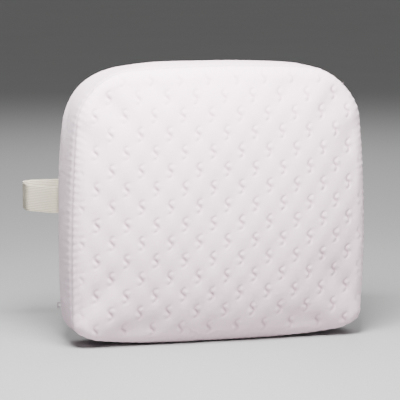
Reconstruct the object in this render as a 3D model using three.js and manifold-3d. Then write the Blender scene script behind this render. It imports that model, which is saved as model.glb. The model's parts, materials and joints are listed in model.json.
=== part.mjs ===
// Lumbar support cushion: a moulded foam core in a thin liner and a zipped cloth cover, held on a
// chair's back by an elastic strap with a side-release buckle.
// Millimetres, +Z up. The front, which a person leans on, faces -Y, and the strap is behind, at +Y.
// The origin is the middle of the flat base.
import * as THREE from 'three';
import { mergeVertices } from 'three/addons/utils/BufferGeometryUtils.js';
import Module from 'manifold-3d';

const wasm = await Module();
wasm.setup();

// ---- Cushion, over its cover
const WIDTH_BASE = 332;
const WIDTH_TOP = 314;
const HEIGHT = 310;
const SIDE_BOW = 5;
const TOP_CROWN = 9;
const CORNER_BASE = 28;
const CORNER_TOP = 58;
const EDGE_RADIUS = 12;
const WAIST_HEIGHT = 165;
// Distances of the front and back faces from the middle plane, at the base, the waist and the top
const FRONT = { base: 33, waist: 42, top: 37 };
const BACK = { base: 33, waist: 57, top: 43 };
const FRONT_CROWN = 14;
const BACK_PRESS = 2;

// ---- Layers
const COVER_THICKNESS = 3;
const LINER_THICKNESS = 1;
const LAYER_GAP = 0.4;
const SEAM_GAP = 0.3;
const LINER_OPENING = { width: 220, depth: 30 };

// ---- Zip across the back
const ZIP_HEIGHT = 38;
const ZIP_SLOT = 16;
const TAPE_THICKNESS = 0.8;
const COIL = { width: 2.3, height: 2 };
const COIL_PARTING = 1.2;
const STOP_LENGTH = 3;
const SLIDER = { length: 10, width: 8.4, plate: 0.9, bridge: 0.5 };
const BAIL = { length: 6.1, width: 1.6, rise: 2.3, bar: 0.85 };
const TAB = { length: 26, width: 6.4, thickness: 0.8, rim: 1.6, end: 2, grip: 3 };
const BAIL_REACH = 1;

// ---- Strap
const STRAP_WIDTH = 30;
const STRAP_THICKNESS = 1.8;
const STRAP_BELOW_WAIST = 10;
const STRAP_STANDOFF = 66;
const STRAP_OUTREACH = 27;
const STRAP_SEWN = 38;
const STRAP_TAIL = 92;
const STRAP_CLEARANCE = 0.6;
const TAIL_GAP = 0.5;
const STRAP_LEAD = 3;
const STRAP_FOLD = 22;
const FOLD_SEWN_IN = 0.1;
const BEND = { sewn: 10, side: 12, back: 20, plug: 1.6, tail: 3, tailEnd: 8 };
const TAIL_DESCENT = { start: 1, end: 22 };
const PATCH = { width: 46, margin: 9, overhang: 4, thickness: 1.2 };
const KEEPER = { width: 12, wall: 1.2, distance: 74 };

// ---- Side-release buckle
const SOCKET_LENGTH = 38;
const SOCKET_THICKNESS = 11;
const SOCKET_RAIL = 4.4;
const SOCKET_WEB = 5;
const SOCKET_CORNER = 5;
const CAVITY = { depth: 24, height: 6, wall: 3.5 };
const WINDOW = { near: 7, far: 19 };
const PLUG_LENGTH = 24;
const PLUG_THICKNESS = 9;
const PLUG_RAIL = 3.4;
const PLUG_WEB = 6;
const PLUG_CORNER = 4;
const BAR = { length: 3.4, thickness: 4, corner: 0.8, setback: 1 };
const PRONG = { length: 19, width: 6.4, corner: 2 };
const ARM = { inner: 9, outer: 13, length: 18, root: 0.1, play: 1, barb: 3 };
const FIT_GAP = 0.6;

const LABEL = { width: 32, height: 44, thickness: 0.6, x: 96, above: 2 };

// Corner radii of small moulded, cast and sewn holes
const CORNER = { bail: 0.4, bailHole: 0.1, tabWindow: 0.2, tabGrip: 1, strapEye: 0.5, keeperHole: 0.3 };

const STRAP_HEIGHT = WAIST_HEIGHT - STRAP_BELOW_WAIST;
const BACK_FLAT = BACK.waist - BACK_PRESS;

// ---- Colours and finishes
function finish(color, roughness, metalness = 0) {
  return new THREE.MeshStandardMaterial({ color, roughness, metalness });
}
const quiltedCloth = finish(0xe9dfe2, 0.9);
const plainCloth = finish(0xe2d6dc, 0.92);
const netCloth = finish(0xd9d2d4, 0.95);
const elastic = finish(0xdbd4c2, 0.85);
const foam = finish(0xf2e9c9, 0.95);
const zipTape = finish(0xe6dfdf, 0.9);
const zipPlastic = finish(0xf0ecec, 0.45);
const zipMetal = finish(0xc9c9cc, 0.35, 0.9);
const buckleIvory = finish(0xe4dfd2, 0.5);
const labelCloth = finish(0xf6f4f2, 0.7);

// ---- Solids
function solid(geometry) {
  const bare = geometry.clone();
  bare.deleteAttribute('normal');
  bare.deleteAttribute('uv');
  const merged = mergeVertices(bare, 1e-4);
  return new wasm.Manifold(new wasm.Mesh({
    numProp: 3,
    vertProperties: Float32Array.from(merged.attributes.position.array),
    triVerts: Uint32Array.from(merged.index.array),
  }));
}

function named(name, shape, material) {
  let geometry = shape;
  if (!shape.isBufferGeometry) {
    const mesh = shape.getMesh();
    geometry = new THREE.BufferGeometry();
    geometry.setAttribute('position', new THREE.BufferAttribute(mesh.vertProperties, 3));
    geometry.setIndex(new THREE.BufferAttribute(mesh.triVerts, 1));
  }
  geometry.computeVertexNormals();
  const piece = new THREE.Mesh(geometry, material);
  piece.name = name;
  return piece;
}

const ordered = (a, b) => [Math.min(a, b), Math.max(a, b)];

function block(x, y, z) {
  const box = new THREE.BoxGeometry(x[1] - x[0], y[1] - y[0], z[1] - z[0]);
  box.translate((x[0] + x[1]) / 2, (y[0] + y[1]) / 2, (z[0] + z[1]) / 2);
  return box;
}

function roundedRectangle(Path, a, b, radius) {
  const path = new Path();
  path.moveTo(a[0] + radius, b[0]);
  path.lineTo(a[1] - radius, b[0]);
  path.absarc(a[1] - radius, b[0] + radius, radius, -Math.PI / 2, 0);
  path.lineTo(a[1], b[1] - radius);
  path.absarc(a[1] - radius, b[1] - radius, radius, 0, Math.PI / 2);
  path.lineTo(a[0] + radius, b[1]);
  path.absarc(a[0] + radius, b[1] - radius, radius, Math.PI / 2, Math.PI);
  path.lineTo(a[0], b[0] + radius);
  path.absarc(a[0] + radius, b[0] + radius, radius, Math.PI, Math.PI * 1.5);
  return path;
}

// A shape drawn in X and Z, given a thickness along Y.
function plate(shape, y) {
  const options = { depth: y[1] - y[0], bevelEnabled: false, curveSegments: 4 };
  const geometry = new THREE.ExtrudeGeometry(shape, options);
  geometry.rotateX(Math.PI / 2);
  geometry.translate(0, y[1], 0);
  return geometry;
}

// A shape drawn in Y and Z, carried along X.
function bar(shape, x) {
  const options = { depth: x[1] - x[0], bevelEnabled: false, curveSegments: 4 };
  const geometry = new THREE.ExtrudeGeometry(shape, options);
  const alongY = new THREE.Vector3(0, 1, 0);
  const alongZ = new THREE.Vector3(0, 0, 1);
  const alongX = new THREE.Vector3(1, 0, 0);
  geometry.applyMatrix4(new THREE.Matrix4().makeBasis(alongY, alongZ, alongX));
  geometry.translate(x[0], 0, 0);
  return geometry;
}

// A shape drawn in X and Y, carried up Z.
function band(shape, z) {
  const options = { depth: z[1] - z[0], bevelEnabled: false, curveSegments: 4 };
  const geometry = new THREE.ExtrudeGeometry(shape, options);
  geometry.translate(0, 0, z[0]);
  return geometry;
}

// ---- Cushion shape
// A face's distance from the middle plane: a quarter sine up to the waist, a quarter cosine above.
function faceDistance(z, face) {
  const height = THREE.MathUtils.clamp(z, 0, HEIGHT);
  if (height < WAIST_HEIGHT) {
    return face.base + (face.waist - face.base) * Math.sin(height / WAIST_HEIGHT * Math.PI / 2);
  }
  const above = (height - WAIST_HEIGHT) / (HEIGHT - WAIST_HEIGHT);
  return face.top + (face.waist - face.top) * Math.cos(above * Math.PI / 2);
}

const backSurface = (z) => Math.min(faceDistance(z, BACK), BACK_FLAT);
const frontSurface = (z) => -faceDistance(z, FRONT);

// The cushion's outline seen from the front, in X and Z, drawn inset all round.
function outline(inset) {
  const base = WIDTH_BASE / 2 - inset;
  const top = WIDTH_TOP / 2 - inset;
  const shoulder = HEIGHT - TOP_CROWN - inset;
  const low = CORNER_BASE - inset;
  const high = CORNER_TOP - inset;
  const bow = (WIDTH_BASE + WIDTH_TOP) / 4 - inset + 2 * SIDE_BOW;
  const path = new THREE.Path();
  path.moveTo(low - base, inset);
  path.lineTo(base - low, inset);
  path.quadraticCurveTo(base, inset, base, inset + low);
  path.quadraticCurveTo(bow, HEIGHT / 2, top, shoulder - high);
  path.quadraticCurveTo(top, shoulder, top - high, shoulder);
  path.quadraticCurveTo(0, shoulder + 2 * TOP_CROWN, high - top, shoulder);
  path.quadraticCurveTo(-top, shoulder, -top, shoulder - high);
  path.quadraticCurveTo(-bow, HEIGHT / 2, -base, inset + low);
  path.quadraticCurveTo(-base, inset, low - base, inset);
  const steps = [6, 4, 6, 5, 6, 5, 6, 4];
  return path.curves.flatMap((curve, k) => curve.getPoints(steps[k]).slice(1));
}

// The rings of points that run from the middle of one face out to the side, over the round edge.
function faceRings(inset, side) {
  const radius = EDGE_RADIUS - inset;
  const surface = side < 0 ? frontSurface : backSurface;
  const crown = side < 0 ? FRONT_CROWN : 0;
  const rings = [];
  for (const fraction of [0.25, 0.5, 0.75]) {
    rings.push(outline(inset + radius).map((p) => {
      const x = p.x * fraction;
      const z = HEIGHT / 2 + (p.y - HEIGHT / 2) * fraction;
      const y = surface(z) + side * (crown * (1 - fraction ** 2) - inset);
      return new THREE.Vector3(x, y, z);
    }));
  }
  for (const turn of [0, Math.PI / 4, Math.PI / 2]) {
    rings.push(outline(inset + radius * (1 - Math.sin(turn))).map((p) => {
      const y = surface(p.y) - side * (inset + radius * (1 - Math.cos(turn)));
      return new THREE.Vector3(p.x, y, p.y);
    }));
  }
  return rings;
}

// The whole closed cushion, smaller all round by the inset.
function cushionSolid(inset) {
  const middle = HEIGHT / 2;
  const rings = [...faceRings(inset, -1), ...faceRings(inset, 1).reverse()];
  const count = rings[0].length;
  const frontPole = new THREE.Vector3(0, frontSurface(middle) - FRONT_CROWN + inset, middle);
  const backPole = new THREE.Vector3(0, backSurface(middle) - inset, middle);
  const points = [...rings.flat(), frontPole, backPole];
  const front = points.length - 2;
  const back = points.length - 1;
  const faces = [];
  for (let i = 0; i < count; i += 1) {
    const next = (i + 1) % count;
    faces.push(front, i, next);
    for (let k = 0; k < rings.length - 1; k += 1) {
      const near = k * count;
      const far = near + count;
      faces.push(near + i, far + i, far + next, near + i, far + next, near + next);
    }
    const last = (rings.length - 1) * count;
    faces.push(last + i, back, last + next);
  }
  const geometry = new THREE.BufferGeometry().setFromPoints(points);
  geometry.setIndex(faces);
  return solid(geometry);
}

// ---- Cover, liner and foam
// Everything in front of the front seam, moved back by a shift.
function aheadOfFrontSeam(shift) {
  const reach = 2 * HEIGHT;
  const shape = new THREE.Shape();
  shape.moveTo(-reach, -EDGE_RADIUS);
  for (let z = -EDGE_RADIUS; z <= HEIGHT + EDGE_RADIUS; z += EDGE_RADIUS) {
    shape.lineTo(frontSurface(z) + EDGE_RADIUS + shift, z);
  }
  shape.lineTo(frontSurface(HEIGHT) + EDGE_RADIUS + shift, HEIGHT + 2 * EDGE_RADIUS);
  shape.lineTo(-reach, HEIGHT + 2 * EDGE_RADIUS);
  return solid(bar(shape, [-WIDTH_BASE, WIDTH_BASE]));
}

// Everything behind the middle plane and inside the back seam.
function insideBackSeam(inset) {
  const shape = new THREE.Shape(outline(EDGE_RADIUS + inset));
  return solid(plate(shape, [0, 2 * BACK.waist]));
}

function coverPieces() {
  const shell = cushionSolid(0).subtract(cushionSolid(COVER_THICKNESS));
  const backPanel = shell.intersect(insideBackSeam(SEAM_GAP));
  const reach = [-WIDTH_BASE, WIDTH_BASE];
  const above = solid(block(reach, reach, [ZIP_HEIGHT + ZIP_SLOT / 2, 2 * HEIGHT]));
  const below = solid(block(reach, reach, [-HEIGHT, ZIP_HEIGHT - ZIP_SLOT / 2]));
  return [
    named('front_panel', shell.intersect(aheadOfFrontSeam(-SEAM_GAP)), quiltedCloth),
    named('side_gusset', shell.subtract(aheadOfFrontSeam(0)).subtract(insideBackSeam(0)), plainCloth),
    named('back_panel_upper', backPanel.intersect(above), netCloth),
    named('back_panel_lower', backPanel.intersect(below), netCloth),
  ];
}

function liner() {
  const outer = COVER_THICKNESS + LAYER_GAP;
  const half = LINER_OPENING.width / 2;
  const depth = LINER_OPENING.depth / 2;
  const opening = solid(block([-half, half], [-depth, depth], [0, outer + 2 * LINER_THICKNESS]));
  const bag = cushionSolid(outer).subtract(cushionSolid(outer + LINER_THICKNESS));
  return named('inner_liner', bag.subtract(opening), plainCloth);
}

function foamCore() {
  const inset = COVER_THICKNESS + LINER_THICKNESS + 2 * LAYER_GAP;
  return named('foam_core', cushionSolid(inset), foam);
}

// ---- Zip, in its own frame: X along the zip, +Y out of the back, Z up the back
const zipEnd = WIDTH_BASE / 2 - EDGE_RADIUS - SEAM_GAP;
const coilEnd = zipEnd - STOP_LENGTH - 2 * SEAM_GAP;
const tapeTop = -0.4;
const coilBottom = tapeTop + SEAM_GAP;
const coilTop = coilBottom + COIL.height;
const sliderTop = coilTop + SEAM_GAP + SLIDER.plate;
const tabAxis = sliderTop + BAIL.rise - BAIL.bar - TAB.thickness;
const sliderPark = SLIDER.length / 2 + 2 * SEAM_GAP - coilEnd;

function zipRow(side) {
  const label = side > 0 ? 'upper' : 'lower';
  const inner = COIL_PARTING / 2;
  const tapeEdge = ZIP_SLOT / 2 - SEAM_GAP;
  const tapeSpan = ordered(side * inner, side * tapeEdge);
  const tape = block([-zipEnd, zipEnd], [tapeTop - TAPE_THICKNESS, tapeTop], tapeSpan);
  const rounding = COIL.width / 3;
  const rowSpan = ordered(side * inner, side * (inner + COIL.width));
  const section = roundedRectangle(THREE.Shape, [coilBottom, coilTop], rowSpan, rounding);
  return [
    named(`zip_tape_${label}`, tape, zipTape),
    named(`zip_coil_${label}`, bar(section, [-coilEnd, coilEnd]), zipPlastic),
  ];
}

function zipStop(side) {
  const label = side < 0 ? 'left' : 'right';
  const half = COIL_PARTING / 2 + COIL.width;
  const x = ordered(side * (coilEnd + SEAM_GAP), side * (zipEnd - SEAM_GAP));
  return named(`zip_stop_${label}`, block(x, [coilBottom, coilTop + SEAM_GAP], [-half, half]), zipMetal);
}

// Two plates above and below the rows, joined by a thin bridge that runs between them, with side
// walls on the upper plate and a bail for the tab.
function zipSlider() {
  const half = SLIDER.length / 2;
  const width = SLIDER.width / 2;
  const plateBottom = sliderTop - SLIDER.plate;
  const under = tapeTop - TAPE_THICKNESS - SEAM_GAP;
  const nose = roundedRectangle(THREE.Shape, [-half, half], [-width, width], width / 2);
  let body = solid(plate(nose, [plateBottom, sliderTop]));
  body = body.add(solid(plate(nose, [under - SLIDER.plate, under])));
  const bridge = [-SLIDER.bridge / 2, SLIDER.bridge / 2];
  const overlap = SLIDER.plate / 2;
  const bridgeReach = [SLIDER.plate - half, 0];
  body = body.add(solid(block(bridgeReach, [under - overlap, plateBottom + overlap], bridge)));
  const wall = width - COIL_PARTING / 2 - COIL.width - SEAM_GAP;
  for (const side of [-1, 1]) {
    const z = ordered(side * width, side * (width - wall));
    const straight = half - width / 2;
    body = body.add(solid(block([-straight, straight], [coilBottom, sliderTop - overlap], z)));
  }
  const bailTop = sliderTop + BAIL.rise;
  const outside = BAIL.length / 2;
  const inside = outside - BAIL.bar;
  const rise = [sliderTop - overlap, bailTop];
  const shape = roundedRectangle(THREE.Shape, [-outside, outside], rise, CORNER.bail);
  const opening = [sliderTop, bailTop - BAIL.bar];
  shape.holes.push(roundedRectangle(THREE.Path, [-inside, inside], opening, CORNER.bailHole));
  body = body.add(solid(band(shape, [-BAIL.width / 2, BAIL.width / 2])));
  return named('zip_slider', body, zipMetal);
}

// The tab's cross-bar lies under the bail, and the tab's window passes over it as the tab flips.
function zipPullTab() {
  const half = TAB.thickness / 2;
  const shape = roundedRectangle(THREE.Shape, [-TAB.length, half], [-TAB.width / 2, TAB.width / 2], half);
  const windowHalf = BAIL.width / 2 + SEAM_GAP * 1.5;
  const window = [-BAIL.length - BAIL_REACH, -half];
  shape.holes.push(roundedRectangle(THREE.Path, window, [-windowHalf, windowHalf], CORNER.tabWindow));
  const gripHalf = TAB.width / 2 - TAB.rim;
  const grip = [TAB.end - TAB.length, TAB.end + TAB.grip - TAB.length];
  shape.holes.push(roundedRectangle(THREE.Path, grip, [-gripHalf, gripHalf], CORNER.tabGrip));
  return named('zip_pull_tab', plate(shape, [tabAxis - half, tabAxis + half]), zipMetal);
}

function onBack(z) {
  const group = new THREE.Group();
  const step = 0.5;
  const slope = (backSurface(z + step) - backSurface(z - step)) / (2 * step);
  group.position.set(0, backSurface(z), z);
  group.rotation.x = -Math.atan(slope);
  return group;
}

function zip() {
  const group = onBack(ZIP_HEIGHT);
  group.add(...zipRow(1), ...zipRow(-1), zipStop(-1), zipStop(1));
  const carriage = new THREE.Group();
  carriage.position.x = sliderPark;
  carriage.add(zipSlider(), zipPullTab());
  group.add(carriage);
  return group;
}

function careLabel() {
  const group = onBack(ZIP_HEIGHT + ZIP_SLOT / 2 + LABEL.above + LABEL.height / 2);
  const x = [LABEL.x - LABEL.width / 2, LABEL.x + LABEL.width / 2];
  const z = [-LABEL.height / 2, LABEL.height / 2];
  group.add(named('care_label', block(x, [SEAM_GAP, SEAM_GAP + LABEL.thickness], z), labelCloth));
  return group;
}

// ---- Strap
const sideX = Math.max(...outline(0).map((p) => p.x));
const strapOnBack = BACK_FLAT + SEAM_GAP + STRAP_THICKNESS / 2;
const strapRun = strapOnBack + STRAP_STANDOFF;
const strapSpan = [STRAP_HEIGHT - STRAP_WIDTH / 2, STRAP_HEIGHT + STRAP_WIDTH / 2];
const slotHalf = STRAP_WIDTH / 2 + STRAP_CLEARANCE;
const wrap = BAR.thickness / 2 + STRAP_CLEARANCE + STRAP_THICKNESS / 2;

// Straight runs between corners [x, y, radius], each corner rounded.
function roundedRoute(corners) {
  const path = new THREE.Path();
  path.moveTo(corners[0][0], corners[0][1]);
  for (let k = 1; k < corners.length - 1; k += 1) {
    const here = new THREE.Vector2(...corners[k]);
    const before = new THREE.Vector2(...corners[k - 1]).sub(here).normalize();
    const after = new THREE.Vector2(...corners[k + 1]).sub(here).normalize();
    const halfAngle = Math.acos(before.dot(after)) / 2;
    const setback = corners[k][2] / Math.tan(halfAngle);
    const start = here.clone().addScaledVector(before, setback);
    const end = here.clone().addScaledVector(after, setback);
    path.lineTo(start.x, start.y);
    path.quadraticCurveTo(here.x, here.y, end.x, end.y);
  }
  path.lineTo(corners.at(-1)[0], corners.at(-1)[1]);
  return path.curves.flatMap((curve, k) => curve.getPoints(k % 2 ? 6 : 1).slice(k ? 1 : 0));
}

// A flat strip of webbing that stands on edge along a route seen from above.
function webbing(route, thickness) {
  const left = [];
  const right = [];
  route.forEach((point, k) => {
    const before = route[Math.max(k - 1, 0)];
    const after = route[Math.min(k + 1, route.length - 1)];
    const along = after.clone().sub(before).normalize();
    const across = new THREE.Vector2(-along.y, along.x).multiplyScalar(thickness / 2);
    left.push(point.clone().add(across));
    right.unshift(point.clone().sub(across));
  });
  return band(new THREE.Shape([...left, ...right]), strapSpan);
}

// From its sewn end on the back, out past the side, round the chair's back and in behind it.
function strapCorners(side, run) {
  const out = sideX + STRAP_OUTREACH;
  return [
    [side * (sideX - EDGE_RADIUS - STRAP_SEWN), strapOnBack, 0],
    [side * (sideX + STRAP_LEAD), strapOnBack, BEND.sewn],
    [side * out, strapOnBack + STRAP_OUTREACH, BEND.side],
    [side * out, run, BEND.back],
  ];
}

// Its end is folded round the socket's bar and sewn to itself.
function strapLeft() {
  const barMiddle = BAR.length / 2 - SOCKET_LENGTH;
  const hole = BAR.length / 2 + STRAP_CLEARANCE;
  const eye = hole + STRAP_THICKNESS;
  const barHalf = BAR.thickness / 2 + STRAP_CLEARANCE;
  const eyeHalf = barHalf + STRAP_THICKNESS;
  const x = [barMiddle - eye, barMiddle + eye];
  const route = roundedRoute([...strapCorners(-1, strapRun), [x[0] + STRAP_THICKNESS / 2, strapRun, 0]]);
  const loop = roundedRectangle(THREE.Shape, x, [strapRun - eyeHalf, strapRun + eyeHalf], STRAP_THICKNESS);
  const innerX = [barMiddle - hole, barMiddle + hole];
  const innerY = [strapRun - barHalf, strapRun + barHalf];
  loop.holes.push(roundedRectangle(THREE.Path, innerX, innerY, CORNER.strapEye));
  const second = strapRun + STRAP_THICKNESS / 2 - FOLD_SEWN_IN;
  const foldedX = [x[0] - STRAP_FOLD, x[0] + STRAP_THICKNESS / 2];
  const folded = solid(block(foldedX, [second, second + STRAP_THICKNESS], strapSpan));
  const strap = solid(webbing(route, STRAP_THICKNESS)).add(solid(band(loop, strapSpan)));
  return named('strap_left', strap.add(folded), elastic);
}

// The right half turns round the plug's bars, and its tail lies back along it.
const strapPlugRun = strapRun - wrap;
const tailLie = strapPlugRun + STRAP_THICKNESS + TAIL_GAP;

function strapRight() {
  const turn = FIT_GAP + PLUG_WEB + STRAP_THICKNESS / 2 + STRAP_CLEARANCE;
  const back = strapRun + wrap;
  const plugEnd = FIT_GAP + PLUG_LENGTH;
  const route = roundedRoute([
    ...strapCorners(1, strapPlugRun),
    [turn, strapPlugRun, BEND.plug],
    [turn, back, BEND.plug],
    [plugEnd + TAIL_DESCENT.start, back, BEND.tail],
    [plugEnd + TAIL_DESCENT.end, tailLie, BEND.tailEnd],
    [plugEnd + STRAP_TAIL, tailLie, 0],
  ]);
  return named('strap_right', webbing(route, STRAP_THICKNESS), elastic);
}

// A patch of cloth over each sewn end: flat flanges with a raised channel for the strap.
function strapPatch(side) {
  const label = side < 0 ? 'left' : 'right';
  const inner = sideX - EDGE_RADIUS - STRAP_SEWN - PATCH.overhang;
  const x = ordered(side * inner, side * (inner + PATCH.width));
  const low = BACK_FLAT + SEAM_GAP;
  const high = low + STRAP_THICKNESS + SEAM_GAP;
  const lowTop = low + PATCH.thickness;
  const highTop = high + PATCH.thickness;
  const wall = slotHalf + PATCH.thickness;
  const flange = slotHalf + PATCH.margin;
  const shape = new THREE.Shape([
    [low, -flange], [lowTop, -flange], [lowTop, -wall], [highTop, -wall],
    [highTop, wall], [lowTop, wall], [lowTop, flange], [low, flange],
    [low, slotHalf], [high, slotHalf], [high, -slotHalf], [low, -slotHalf],
  ].map(([y, z]) => new THREE.Vector2(y, z + STRAP_HEIGHT)));
  return named(`strap_patch_${label}`, bar(shape, x), plainCloth);
}

function strapKeeper() {
  const x = [KEEPER.distance, KEEPER.distance + KEEPER.width];
  const near = strapPlugRun - STRAP_THICKNESS / 2 - SEAM_GAP;
  const far = tailLie + STRAP_THICKNESS / 2 + SEAM_GAP;
  const z = [STRAP_HEIGHT - slotHalf, STRAP_HEIGHT + slotHalf];
  const grown = (range) => [range[0] - KEEPER.wall, range[1] + KEEPER.wall];
  const shape = roundedRectangle(THREE.Shape, grown([near, far]), grown(z), KEEPER.wall);
  shape.holes.push(roundedRectangle(THREE.Path, [near, far], z, CORNER.keeperHole));
  return named('strap_keeper', bar(shape, x), elastic);
}

// ---- Buckle, in its own frame: the socket's mouth at X = 0, the plug on +X, Z across the strap
function buckleSocket() {
  const half = slotHalf + SOCKET_RAIL;
  const y = [-SOCKET_THICKNESS / 2, SOCKET_THICKNESS / 2];
  const cavityHalf = half - CAVITY.wall;
  const cavityY = [-CAVITY.height / 2, CAVITY.height / 2];
  const outerShape = roundedRectangle(THREE.Shape, [-SOCKET_LENGTH, 0], [-half, half], SOCKET_CORNER);
  const cavity = block([-CAVITY.depth, CAVITY.wall], cavityY, [-cavityHalf, cavityHalf]);
  const windows = block([-WINDOW.far, -WINDOW.near], cavityY, [-2 * half, 2 * half]);
  const strapSlotX = [-2 * SOCKET_LENGTH, -CAVITY.depth - SOCKET_WEB];
  const strapSlot = block(strapSlotX, y.map((v) => 2 * v), [-slotHalf, slotHalf]);
  let body = solid(plate(outerShape, y));
  for (const hollow of [cavity, windows, strapSlot]) {
    body = body.subtract(solid(hollow));
  }
  return named('buckle_socket', body.add(solid(wrapBar(-SOCKET_LENGTH))), buckleIvory);
}

function wrapBar(x) {
  const half = slotHalf + PLUG_RAIL / 2;
  const y = [-BAR.thickness / 2, BAR.thickness / 2];
  return bar(roundedRectangle(THREE.Shape, y, [-half, half], BAR.corner), [x, x + BAR.length]);
}

function bucklePlug() {
  const half = slotHalf + PLUG_RAIL;
  const y = [-PLUG_THICKNESS / 2, PLUG_THICKNESS / 2];
  const start = FIT_GAP;
  const end = FIT_GAP + PLUG_LENGTH;
  const slot = STRAP_THICKNESS + 2 * STRAP_CLEARANCE;
  const reach = CAVITY.height / 2 - FIT_GAP;
  const prongX = [-PRONG.length, start + PRONG.corner];
  const prong = roundedRectangle(THREE.Shape, prongX, [-PRONG.width / 2, PRONG.width / 2], PRONG.corner);
  const tunnel = block([start + PLUG_WEB, 2 * end], y.map((v) => 2 * v), [-slotHalf, slotHalf]);
  let body = solid(plate(roundedRectangle(THREE.Shape, [start, end], [-half, half], PLUG_CORNER), y));
  body = body.subtract(solid(tunnel));
  body = body.add(solid(wrapBar(start + PLUG_WEB + slot)));
  body = body.add(solid(wrapBar(end - BAR.length - BAR.setback)));
  body = body.add(solid(plate(prong, [-reach, reach])));
  return named('buckle_plug', body, buckleIvory);
}

// A springy arm whose barb stands in the socket's side window.
function latchArm(side) {
  const label = side > 0 ? 'upper' : 'lower';
  const reach = CAVITY.height / 2 - FIT_GAP;
  const barbTip = slotHalf + SOCKET_RAIL - ARM.play;
  const shoulder = -WINDOW.near - ARM.play;
  const shape = new THREE.Shape([
    [ARM.root, ARM.inner], [ARM.root, ARM.outer], [shoulder, ARM.outer], [shoulder, barbTip],
    [shoulder - ARM.barb, barbTip], [-ARM.length, ARM.outer], [-ARM.length, ARM.inner],
  ].map(([x, z]) => new THREE.Vector2(x, side * z)));
  return named(`latch_arm_${label}`, plate(shape, [-reach, reach]), buckleIvory);
}

function buckle() {
  const group = new THREE.Group();
  group.position.set(0, strapRun, STRAP_HEIGHT);
  group.add(buckleSocket(), bucklePlug(), latchArm(1), latchArm(-1));
  return group;
}

const cushion = new THREE.Group();
cushion.add(foamCore(), liner(), ...coverPieces(), zip(), careLabel());
cushion.add(strapLeft(), strapRight(), strapPatch(-1), strapPatch(1), strapKeeper(), buckle());

export default cushion;
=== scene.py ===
# %% [markdown]
# # A lumbar support cushion
# The cushion is a moulded foam block in a zipped cloth cover. An elastic strap with a
# side-release buckle holds it on a chair's back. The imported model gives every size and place, and
# this lesson makes the cloth, the webbing, the zip and the moulded plastic that fit round it.

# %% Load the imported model
import json
import math
import bmesh
import bpy
import numpy as np
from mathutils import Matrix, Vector


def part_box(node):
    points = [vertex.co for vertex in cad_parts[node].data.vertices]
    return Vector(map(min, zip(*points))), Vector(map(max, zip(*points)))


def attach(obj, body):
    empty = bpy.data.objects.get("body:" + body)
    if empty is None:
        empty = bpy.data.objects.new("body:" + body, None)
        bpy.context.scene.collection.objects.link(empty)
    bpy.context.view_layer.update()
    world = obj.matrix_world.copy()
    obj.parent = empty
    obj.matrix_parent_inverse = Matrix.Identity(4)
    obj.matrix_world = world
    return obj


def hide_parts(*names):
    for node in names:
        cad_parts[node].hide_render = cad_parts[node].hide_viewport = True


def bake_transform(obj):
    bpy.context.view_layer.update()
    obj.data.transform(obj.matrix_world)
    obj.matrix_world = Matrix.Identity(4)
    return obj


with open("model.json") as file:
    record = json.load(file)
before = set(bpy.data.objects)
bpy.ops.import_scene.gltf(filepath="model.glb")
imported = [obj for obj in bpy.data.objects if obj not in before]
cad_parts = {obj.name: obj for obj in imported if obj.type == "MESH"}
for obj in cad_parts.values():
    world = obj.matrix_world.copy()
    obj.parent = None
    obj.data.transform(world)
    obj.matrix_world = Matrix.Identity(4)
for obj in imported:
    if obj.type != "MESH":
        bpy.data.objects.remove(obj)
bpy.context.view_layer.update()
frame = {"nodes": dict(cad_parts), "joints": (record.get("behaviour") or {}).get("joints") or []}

# %% [markdown]
# ## The camera
# The camera stands a little to the left of the cushion's front and slightly above its middle. A
# long lens from about two and a half metres keeps upright edges nearly parallel. The camera comes
# first, so that each later piece can be looked at as soon as it is made.

# %% Camera
VIEW_AZIMUTH = math.radians(-15)
VIEW_ELEVATION = math.radians(8)
VIEW_DISTANCE = 2.5
FRAME_WIDTH = 0.45
FRAME_SHIFT = 0.012
SENSOR_WIDTH = 36.0


def linked(name, data):
    """A new object in the scene, made from a mesh, a lens or a lamp."""
    made = bpy.data.objects.new(name, data)
    bpy.context.scene.collection.objects.link(made)
    return made


def place_camera():
    """The camera's place is the target plus a distance along the viewing direction, which is
    (sin azimuth cos elevation, -cos azimuth cos elevation, sin elevation)."""
    low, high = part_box("side_gusset")
    target = (low + high) / 2 - Vector((FRAME_SHIFT, 0, 0))
    x, y, level = math.sin(VIEW_AZIMUTH), -math.cos(VIEW_AZIMUTH), math.cos(VIEW_ELEVATION)
    direction = Vector((x * level, y * level, math.sin(VIEW_ELEVATION)))
    lens = bpy.data.cameras.new("camera")
    lens.sensor_width = SENSOR_WIDTH
    lens.lens = SENSOR_WIDTH * VIEW_DISTANCE / FRAME_WIDTH
    camera = linked("camera", lens)
    camera.location = target + direction * VIEW_DISTANCE
    camera.rotation_mode = "QUATERNION"
    camera.rotation_quaternion = (-direction).to_track_quat("-Z", "Y")
    bpy.context.scene.camera = camera
    return camera


print("lens", round(place_camera().data.lens), "mm")

# %% [markdown]
# ## Writing shaders as sums
# A material's pattern is arithmetic on coordinates. Nodes can be linked one by one, but an
# expression such as `1 - mask * 0.4` is easier to read. So one small class wraps a socket and
# turns each operator into a Math node, and one method makes any other node.

# %% Shader values
MIX_FIRST, MIX_SECOND, MIX_RESULT = 6, 7, 2


class Value:
    """A node's output socket that can be used in sums."""

    def __init__(self, tree, socket):
        self.tree = tree
        self.socket = socket

    def math(self, operation, *others):
        return self.tree.node("ShaderNodeMath", {"operation": operation}, [self, *others])

    def __add__(self, other):
        return self.math("ADD", other)

    def __mul__(self, other):
        return self.math("MULTIPLY", other)

    def __sub__(self, other):
        return self.math("SUBTRACT", other)

    def __rsub__(self, other):
        return self.tree.node("ShaderNodeMath", {"operation": "SUBTRACT"}, [other, self])

    __radd__ = __add__
    __rmul__ = __mul__


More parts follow.
